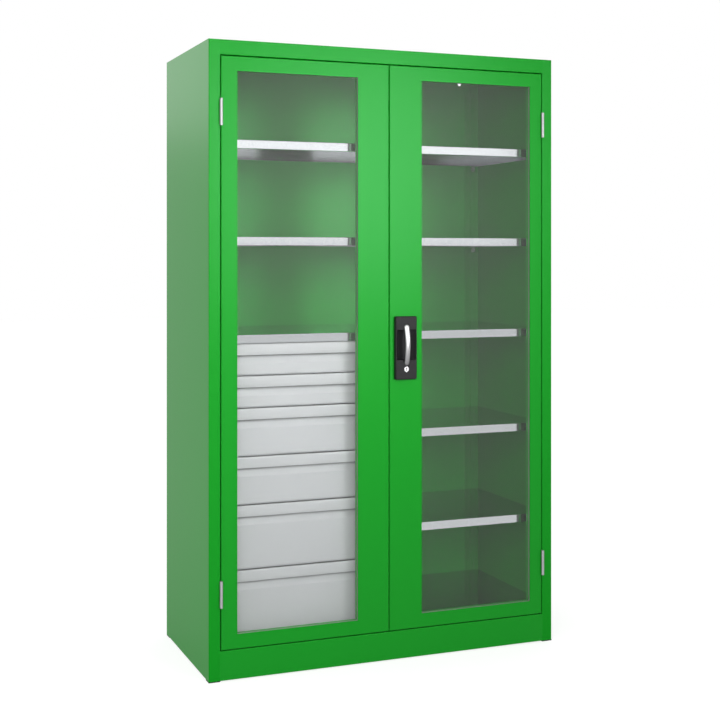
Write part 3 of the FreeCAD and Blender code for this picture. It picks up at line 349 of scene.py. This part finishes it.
def lock_face():
    """Satin metal with painted shade, a black patch over the keyway in its middle."""
    m = Material("lock_face")
    low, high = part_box("lock_cylinder")
    middle = (low + high) / 2
    place = m.add("ShaderNodeSeparateXYZ", Vector=m.place).outputs
    # Painted shade: a black, non-metallic patch where the keyway's recess lies
    beside = m.calculate("COMPARE", place["X"], middle.x, KEYWAY_WIDTH / 2)
    level = m.calculate("COMPARE", place["Z"], middle.z, KEYWAY_HEIGHT / 2)
    keyway_shade = m.calculate("MULTIPLY", beside, level)
    m.set(
        Base_Color=m.blend(keyway_shade, SILVER, BLACK_PLASTIC),
        Metallic=m.between(keyway_shade, 1.0, 0.0),
        Roughness=m.between(m.noise(LOCK_GRAIN_SCALE), *LOCK_ROUGHNESS),
    )
    return m.material


def grained_plastic(name, colour, other, roughness):
    """Moulded plastic or rubber with a fine eroded grain."""
    m = Material(name)
    grain = m.noise(GRAIN_SCALE, GRAIN_DETAIL)
    m.set(
        Base_Color=m.blend(m.noise(PLASTIC_TONE_SCALE, PLASTIC_TONE_DETAIL), colour, other),
        Roughness=m.between(grain, roughness - GRAIN_SMOOTHER, roughness + GRAIN_ROUGHER),
        Specular_IOR_Level=PLASTIC_GLOSS,
        Normal=m.bump(grain, GRAIN_HEIGHT, GRAIN_STRENGTH),
    )
    return m.material


def window_glass():
    """A clear pane with a slight grey veil and traces of wiping."""
    m = Material("window_glass")
    smear = m.streaks(SMEAR_STRETCH, SMEAR_DETAIL)
    m.set(
        Base_Color=m.blend(smear, PANE, PANE_SMEARED),
        Roughness=m.between(smear, *PANE_ROUGHNESS),
        Alpha=PANE_VEIL,
        IOR=PANE_BENDING,
    )
    return m.material


def weld_seams(paint):
    """Welds, ground flush and painted, along the posts beside the top rail and the plinth."""
    post_low, post_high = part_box("left_side_panel")
    plinth_low, plinth_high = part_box("plinth_panel")
    rail_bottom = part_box("left_door_panel")[1].z + DOOR_GAP
    near, far = plinth_high.x, plinth_high.x + SEAM_GAP + SEAM_BEND
    face, back = post_low.y + SEAM_SET_BACK, post_low.y + SEAM_DEPTH
    section = ((near, face), (far, face), (far - SEAM_BEND / 2, back), (near, back))
    heights = (
        (plinth_low.z + SEAM_BEND, plinth_high.z - SEAM_BEND),
        (rail_bottom + SEAM_BEND, post_high.z - SEAM_BEND),
    )
    mesh = bmesh.new()
    for side in (-1, 1):
        for ends in heights:
            lower, upper = ([mesh.verts.new((side * x, y, z)) for x, y in section] for z in ends)
            mesh.faces.new(lower)
            mesh.faces.new(upper)
            for k in range(len(section)):
                mesh.faces.new((lower[k - 1], lower[k], upper[k], upper[k - 1]))
    bmesh.ops.recalc_face_normals(mesh, faces=mesh.faces)
    data = bpy.data.meshes.new("weld_seams")
    mesh.to_mesh(data)
    mesh.free()
    data.materials.append(paint)
    seams = bpy.data.objects.new("weld_seams", data)
    bpy.context.scene.collection.objects.link(seams)
    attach(seams, "carcass")


def paint_nodes():
    """Gives each solid the material of its slot, or one of its own where the photo differs from the slot."""
    green = green_outside()
    sides = green_sides()
    zinc = galvanised()
    plastic = (BLACK_PLASTIC, BLACK_PLASTIC_WORN, BLACK_PLASTIC_ROUGHNESS)
    by_slot = {
        "green_paint": green,
        "galvanised_steel": zinc,
        "grey_paint": drawer_grey(),
        "bright_steel": brushed("bright_steel", STEEL, STEEL_ROUGHNESS).material,
        "dark_steel": brushed("dark_steel", STEEL_DARK, STEEL_DARK_ROUGHNESS).material,
        "silver_metal": brushed("satin_silver", SILVER, SILVER_ROUGHNESS).material,
        "black_plastic": grained_plastic("black_plastic", *plastic),
        "black_rubber": grained_plastic("grey_rubber", RUBBER, RUBBER_DUSTY, RUBBER_ROUGHNESS),
        "clear_glass": window_glass(),
    }
    by_node = {
        "left_side_panel": sides,
        "right_side_panel": sides,
        # The back panel has painted light, a lighter copy of the green paint
        "back_panel": green_inside_painted_light(),
        "floor_panel": zinc,
        # The bow carries painted shade towards its lower end
        "bow_handle": bow_painted_shade(),
        # The lock face carries painted shade over its keyway
        "lock_cylinder": lock_face(),
    }
    for part in subparts:
        mesh = nodes[part["node"]].data
        mesh.materials.clear()
        mesh.materials.append(by_node.get(part["node"], by_slot[part["material_slot"]]))
    weld_seams(green)


def floor():
    """A wide white floor that keeps the soft shadow of the cabinet."""
    bpy.ops.mesh.primitive_plane_add(size=FLOOR_SIZE, location=(0, 0, 0))
    ground = bpy.context.object
    ground.name = "floor"
    m = Material("pale_floor")
    m.tree.nodes.remove(m.shader)
    tone = m.blend(m.noise(FLOOR_TONE_SCALE), (FLOOR_GREY,) * 3, (FLOOR_GREY_LIGHT,) * 3)
    bounce = m.add("ShaderNodeBsdfDiffuse", Color=tone).outputs["BSDF"]
    shade = m.add("ShaderNodeBsdfDiffuse", Color=(*(FLOOR_SHADOW_SHARE,) * 3, 1.0)).outputs["BSDF"]
    glow = m.add("ShaderNodeEmission", Strength=FLOOR_GLOW).outputs["Emission"]
    white = m.join("ShaderNodeAddShader", shade, glow)
    surface = m.join("ShaderNodeMixShader", m.seen_directly(), bounce, white)
    m.feed(m.tree.nodes["Material Output"].inputs["Surface"], surface)
    ground.data.materials.append(m.material)


def sky():
    """A white backdrop that lights the room more from above than from the sides."""
    world = bpy.data.worlds.new("sky")
    bpy.context.scene.world = world
    world.use_nodes = True
    n = Nodes(world.node_tree)
    n.tree.nodes.clear()
    direction = n.add("ShaderNodeTexCoord").outputs["Generated"]
    height = n.add("ShaderNodeSeparateXYZ", Vector=direction).outputs["Z"]
    ramp = n.add("ShaderNodeMapRange", Value=height, To_Min=SKY_HORIZON, To_Max=SKY_OVERHEAD)
    light = n.add("ShaderNodeBackground", Color=WHITE, Strength=ramp.outputs["Result"])
    white = n.add("ShaderNodeBackground", Color=WHITE, Strength=SKY_SEEN)
    backgrounds = (light.outputs["Background"], white.outputs["Background"])
    n.add("ShaderNodeOutputWorld", Surface=n.join("ShaderNodeMixShader", n.seen_directly(), *backgrounds))


def soft_box(name, lamp):
    """A square lamp that faces a point and isn't seen itself."""
    data = bpy.data.lights.new(name, "AREA")
    data.shape = "SQUARE"
    data.size = lamp.edge
    data.energy = lamp.power
    data.spread = math.radians(lamp.spread)
    box = bpy.data.objects.new(name, data)
    bpy.context.scene.collection.objects.link(box)
    box.location = lamp.place
    box.rotation_euler = (Vector(lamp.target) - Vector(lamp.place)).to_track_quat("-Z", "Y").to_euler()
    box.visible_camera = False
    return box


def spare_shelves(boxes):
    """Keeps the hard glare of lamps off the zinc-coated shelves and their clips."""
    spared = bpy.data.collections.new("shelves_without_glare")
    for part in subparts:
        if part["material_slot"] == "galvanised_steel":
            spared.objects.link(nodes[part["node"]])
    for member in spared.collection_objects:
        member.light_linking.link_state = "EXCLUDE"
    for box in boxes:
        box.light_linking.receiver_collection = spared


def studio():
    """A white floor and backdrop, and soft boxes all round."""
    bpy.context.scene.view_settings.view_transform = "Standard"
    floor()
    sky()
    boxes = {name: soft_box(name, lamp) for name, lamp in LAMPS.items()}
    spare_shelves([boxes[name] for name in LAMPS_OFF_SHELVES])


def camera():
    """The photograph's viewpoint."""
    data = bpy.data.cameras.new("camera")
    data.lens = CAMERA_LENS
    data.shift_x, data.shift_y = CAMERA_SHIFT
    view = bpy.data.objects.new("camera", data)
    bpy.context.scene.collection.objects.link(view)
    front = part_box("left_side_panel")[0].y
    view.location = (CAMERA_FROM_MIDDLE, front - CAMERA_BEFORE_FRONT, CAMERA_HEIGHT)
    view.rotation_euler = (math.radians(CAMERA_LEVEL), 0, math.radians(CAMERA_TURN))
    bpy.context.scene.camera = view


paint_nodes()
studio()
camera()
